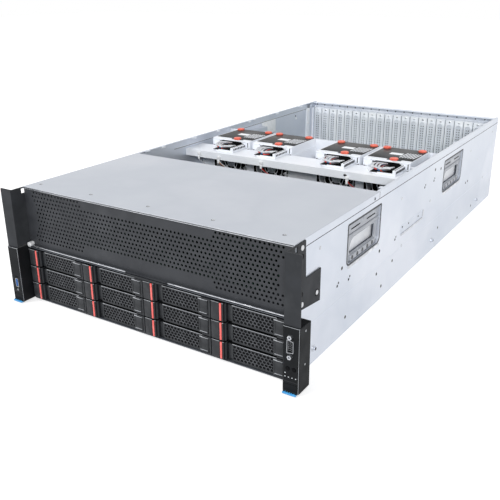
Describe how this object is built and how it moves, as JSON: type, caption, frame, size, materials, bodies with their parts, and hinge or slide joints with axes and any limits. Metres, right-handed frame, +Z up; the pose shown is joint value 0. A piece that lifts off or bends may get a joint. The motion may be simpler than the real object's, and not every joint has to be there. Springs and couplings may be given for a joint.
{
  "type": "4u gpu server",
  "caption": "Rack-mount GPU server: slide-in drive carriers with hinged levers under a perforated front, hot-plug fan modules mid-chassis, card-slot rear wall and pull-out power supplies.",
  "frame": {"origin": "middle of the bounding box, on the plane of the chassis floor's underside", "axes": "+X to the right seen from the front, +Y from the drive bays to the card slots, +Z up"},
  "size_m": [0.4842, 0.9446, 0.174],
  "materials": {
    "black_plastic": "moulded, fine grain",
    "black_steel": "black coat, matt",
    "board_green": "solder mask, satin",
    "button_plastic": "moulded, smooth",
    "cover_steel": "galvanised sheet, satin",
    "ear_black": "black coat, matt",
    "fan_plastic": "moulded, fine grain",
    "handle_grey": "grey coat, satin",
    "latch_blue": "moulded, smooth",
    "lever_black": "black coat, matt",
    "port_metal": "plated",
    "rotor_plastic": "moulded, smooth",
    "sheet_steel": "galvanised sheet, fine satin",
    "supply_case": "plated sheet case",
    "tag_grey": "thin moulded blade"
  },
  "bodies": {
    "chassis": {"chassis_pan": "sheet_steel", "top_rails": "sheet_steel", "front_cover": "cover_steel", "rear_panel": "sheet_steel", "slot_covers": "sheet_steel", "drive_cage": "sheet_steel", "vent_panel": "black_steel", "left_ear": "ear_black", "right_ear": "ear_black", "left_control_box": "ear_black", "right_control_box": "ear_black", "front_ports": "port_metal", "fan_bridge": "sheet_steel", "fan_cage": "sheet_steel", "circuit_boards": "board_green"},
    "drive_carrier_01": {"drive_carrier_01": "black_plastic"},
    "drive_lever_01": {"drive_lever_01": "lever_black"},
    "drive_carrier_02": {"drive_carrier_02": "black_plastic"},
    "drive_lever_02": {"drive_lever_02": "lever_black"},
    "drive_carrier_03": {"drive_carrier_03": "black_plastic"},
    "drive_lever_03": {"drive_lever_03": "lever_black"},
    "drive_carrier_04": {"drive_carrier_04": "black_plastic"},
    "drive_lever_04": {"drive_lever_04": "lever_black"},
    "drive_carrier_05": {"drive_carrier_05": "black_plastic"},
    "drive_lever_05": {"drive_lever_05": "lever_black"},
    "drive_carrier_06": {"drive_carrier_06": "black_plastic"},
    "drive_lever_06": {"drive_lever_06": "lever_black"},
    "drive_carrier_07": {"drive_carrier_07": "black_plastic"},
    "drive_lever_07": {"drive_lever_07": "lever_black"},
    "drive_carrier_08": {"drive_carrier_08": "black_plastic"},
    "drive_lever_08": {"drive_lever_08": "lever_black"},
    "drive_carrier_09": {"drive_carrier_09": "black_plastic"},
    "drive_lever_09": {"drive_lever_09": "lever_black"},
    "drive_carrier_10": {"drive_carrier_10": "black_plastic"},
    "drive_lever_10": {"drive_lever_10": "lever_black"},
    "drive_carrier_11": {"drive_carrier_11": "black_plastic"},
    "drive_lever_11": {"drive_lever_11": "lever_black"},
    "drive_carrier_12": {"drive_carrier_12": "black_plastic"},
    "drive_lever_12": {"drive_lever_12": "lever_black"},
    "fan_module_1": {"fan_module_1": "fan_plastic"},
    "fan_rotor_1": {"fan_rotor_1": "rotor_plastic"},
    "fan_module_2": {"fan_module_2": "fan_plastic"},
    "fan_rotor_2": {"fan_rotor_2": "rotor_plastic"},
    "fan_module_3": {"fan_module_3": "fan_plastic"},
    "fan_rotor_3": {"fan_rotor_3": "rotor_plastic"},
    "fan_module_4": {"fan_module_4": "fan_plastic"},
    "fan_rotor_4": {"fan_rotor_4": "rotor_plastic"},
    "front_left_handle": {"front_left_handle": "handle_grey"},
    "front_right_handle": {"front_right_handle": "handle_grey"},
    "rear_left_handle": {"rear_left_handle": "handle_grey"},
    "rear_right_handle": {"rear_right_handle": "handle_grey"},
    "left_latch": {"left_latch": "latch_blue"},
    "right_latch": {"right_latch": "latch_blue"},
    "power_button": {"power_button": "button_plastic"},
    "locate_button": {"locate_button": "button_plastic"},
    "pull_tag": {"pull_tag": "tag_grey"},
    "power_supply_1": {"power_supply_1": "supply_case"},
    "power_supply_2": {"power_supply_2": "supply_case"},
    "power_supply_3": {"power_supply_3": "supply_case"},
    "power_supply_4": {"power_supply_4": "supply_case"}
  },
  "joints": [
    {"name": "carrier_slide_01", "type": "slide", "parent": "chassis", "child": "drive_carrier_01", "axis": [0, -1, 0], "range_m": [0, 0.155]},
    {"name": "lever_hinge_01", "type": "hinge", "parent": "drive_carrier_01", "child": "drive_lever_01", "pos_m": [-0.1182, -0.44645, 0.0166], "axis": [0, 0, 1], "range_deg": [0, 65]},
    {"name": "carrier_slide_02", "type": "slide", "parent": "chassis", "child": "drive_carrier_02", "axis": [0, -1, 0], "range_m": [0, 0.155]},
    {"name": "lever_hinge_02", "type": "hinge", "parent": "drive_carrier_02", "child": "drive_lever_02", "pos_m": [-0.0096, -0.44645, 0.0166], "axis": [0, 0, 1], "range_deg": [0, 65]},
    {"name": "carrier_slide_03", "type": "slide", "parent": "chassis", "child": "drive_carrier_03", "axis": [0, -1, 0], "range_m": [0, 0.155]},
    {"name": "lever_hinge_03", "type": "hinge", "parent": "drive_carrier_03", "child": "drive_lever_03", "pos_m": [0.099, -0.44645, 0.0166], "axis": [0, 0, 1], "range_deg": [0, 65]},
    {"name": "carrier_slide_04", "type": "slide", "parent": "chassis", "child": "drive_carrier_04", "axis": [0, -1, 0], "range_m": [0, 0.155]},
    {"name": "lever_hinge_04", "type": "hinge", "parent": "drive_carrier_04", "child": "drive_lever_04", "pos_m": [0.2076, -0.44645, 0.0166], "axis": [0, 0, 1], "range_deg": [0, 65]},
    {"name": "carrier_slide_05", "type": "slide", "parent": "chassis", "child": "drive_carrier_05", "axis": [0, -1, 0], "range_m": [0, 0.155]},
    {"name": "lever_hinge_05", "type": "hinge", "parent": "drive_carrier_05", "child": "drive_lever_05", "pos_m": [-0.1182, -0.44645, 0.043], "axis": [0, 0, 1], "range_deg": [0, 65]},
    {"name": "carrier_slide_06", "type": "slide", "parent": "chassis", "child": "drive_carrier_06", "axis": [0, -1, 0], "range_m": [0, 0.155]},
    {"name": "lever_hinge_06", "type": "hinge", "parent": "drive_carrier_06", "child": "drive_lever_06", "pos_m": [-0.0096, -0.44645, 0.043], "axis": [0, 0, 1], "range_deg": [0, 65]},
    {"name": "carrier_slide_07", "type": "slide", "parent": "chassis", "child": "drive_carrier_07", "axis": [0, -1, 0], "range_m": [0, 0.155]},
    {"name": "lever_hinge_07", "type": "hinge", "parent": "drive_carrier_07", "child": "drive_lever_07", "pos_m": [0.099, -0.44645, 0.043], "axis": [0, 0, 1], "range_deg": [0, 65]},
    {"name": "carrier_slide_08", "type": "slide", "parent": "chassis", "child": "drive_carrier_08", "axis": [0, -1, 0], "range_m": [0, 0.155]},
    {"name": "lever_hinge_08", "type": "hinge", "parent": "drive_carrier_08", "child": "drive_lever_08", "pos_m": [0.2076, -0.44645, 0.043], "axis": [0, 0, 1], "range_deg": [0, 65]},
    {"name": "carrier_slide_09", "type": "slide", "parent": "chassis", "child": "drive_carrier_09", "axis": [0, -1, 0], "range_m": [0, 0.155]},
    {"name": "lever_hinge_09", "type": "hinge", "parent": "drive_carrier_09", "child": "drive_lever_09", "pos_m": [-0.1182, -0.44645, 0.0694], "axis": [0, 0, 1], "range_deg": [0, 65]},
    {"name": "carrier_slide_10", "type": "slide", "parent": "chassis", "child": "drive_carrier_10", "axis": [0, -1, 0], "range_m": [0, 0.155]},
    {"name": "lever_hinge_10", "type": "hinge", "parent": "drive_carrier_10", "child": "drive_lever_10", "pos_m": [-0.0096, -0.44645, 0.0694], "axis": [0, 0, 1], "range_deg": [0, 65]},
    {"name": "carrier_slide_11", "type": "slide", "parent": "chassis", "child": "drive_carrier_11", "axis": [0, -1, 0], "range_m": [0, 0.155]},
    {"name": "lever_hinge_11", "type": "hinge", "parent": "drive_carrier_11", "child": "drive_lever_11", "pos_m": [0.099, -0.44645, 0.0694], "axis": [0, 0, 1], "range_deg": [0, 65]},
    {"name": "carrier_slide_12", "type": "slide", "parent": "chassis", "child": "drive_carrier_12", "axis": [0, -1, 0], "range_m": [0, 0.155]},
    {"name": "lever_hinge_12", "type": "hinge", "parent": "drive_carrier_12", "child": "drive_lever_12", "pos_m": [0.2076, -0.44645, 0.0694], "axis": [0, 0, 1], "range_deg": [0, 65]},
    {"name": "fan_lift_1", "type": "slide", "parent": "chassis", "child": "fan_module_1", "axis": [0, 0, 1], "range_m": [0, 0.1]},
    {"name": "fan_spin_1", "type": "hinge", "parent": "fan_module_1", "child": "fan_rotor_1", "pos_m": [-0.1545, 0.00775, 0.1269], "axis": [0, 1, 0], "continuous": true},
    {"name": "fan_lift_2", "type": "slide", "parent": "chassis", "child": "fan_module_2", "axis": [0, 0, 1], "range_m": [0, 0.1]},
    {"name": "fan_spin_2", "type": "hinge", "parent": "fan_module_2", "child": "fan_rotor_2", "pos_m": [-0.0655, 0.00775, 0.1269], "axis": [0, 1, 0], "continuous": true},
    {"name": "fan_lift_3", "type": "slide", "parent": "chassis", "child": "fan_module_3", "axis": [0, 0, 1], "range_m": [0, 0.1]},
    {"name": "fan_spin_3", "type": "hinge", "parent": "fan_module_3", "child": "fan_rotor_3", "pos_m": [0.0655, 0.00775, 0.1269], "axis": [0, 1, 0], "continuous": true},
    {"name": "fan_lift_4", "type": "slide", "parent": "chassis", "child": "fan_module_4", "axis": [0, 0, 1], "range_m": [0, 0.1]},
    {"name": "fan_spin_4", "type": "hinge", "parent": "fan_module_4", "child": "fan_rotor_4", "pos_m": [0.1545, 0.00775, 0.1269], "axis": [0, 1, 0], "continuous": true},
    {"name": "front_left_handle_fold", "type": "hinge", "parent": "chassis", "child": "front_left_handle", "pos_m": [-0.2159, -0.24925, 0.1346], "axis": [0, 1, 0], "range_deg": [0, 90]},
    {"name": "front_right_handle_fold", "type": "hinge", "parent": "chassis", "child": "front_right_handle", "pos_m": [0.2159, -0.24925, 0.1346], "axis": [0, -1, 0], "range_deg": [0, 90]},
    {"name": "rear_left_handle_fold", "type": "hinge", "parent": "chassis", "child": "rear_left_handle", "pos_m": [-0.2159, 0.14575, 0.1346], "axis": [0, 1, 0], "range_deg": [0, 90]},
    {"name": "rear_right_handle_fold", "type": "hinge", "parent": "chassis", "child": "rear_right_handle", "pos_m": [0.2159, 0.14575, 0.1346], "axis": [0, -1, 0], "range_deg": [0, 90]},
    {"name": "left_latch_swing", "type": "hinge", "parent": "chassis", "child": "left_latch", "pos_m": [-0.2313, -0.46675, 0.011], "axis": [-1, 0, 0], "range_deg": [0, 20], "stiffness_Nm_per_rad": 0.05},
    {"name": "right_latch_swing", "type": "hinge", "parent": "chassis", "child": "right_latch", "pos_m": [0.2313, -0.46675, 0.011], "axis": [-1, 0, 0], "range_deg": [0, 20], "stiffness_Nm_per_rad": 0.05},
    {"name": "power_button_press", "type": "slide", "parent": "chassis", "child": "power_button", "axis": [0, 1, 0], "range_m": [0, 0.001], "stiffness_N_per_m": 300},
    {"name": "locate_button_press", "type": "slide", "parent": "chassis", "child": "locate_button", "axis": [0, 1, 0], "range_m": [0, 0.001], "stiffness_N_per_m": 300},
    {"name": "tag_pull", "type": "slide", "parent": "chassis", "child": "pull_tag", "axis": [0, -1, 0], "range_m": [0, 0.055]},
    {"name": "power_slide_1", "type": "slide", "parent": "chassis", "child": "power_supply_1", "axis": [0, 1, 0], "range_m": [0, 0.2]},
    {"name": "power_slide_2", "type": "slide", "parent": "chassis", "child": "power_supply_2", "axis": [0, 1, 0], "range_m": [0, 0.2]},
    {"name": "power_slide_3", "type": "slide", "parent": "chassis", "child": "power_supply_3", "axis": [0, 1, 0], "range_m": [0, 0.2]},
    {"name": "power_slide_4", "type": "slide", "parent": "chassis", "child": "power_supply_4", "axis": [0, 1, 0], "range_m": [0, 0.2]}
  ]
}
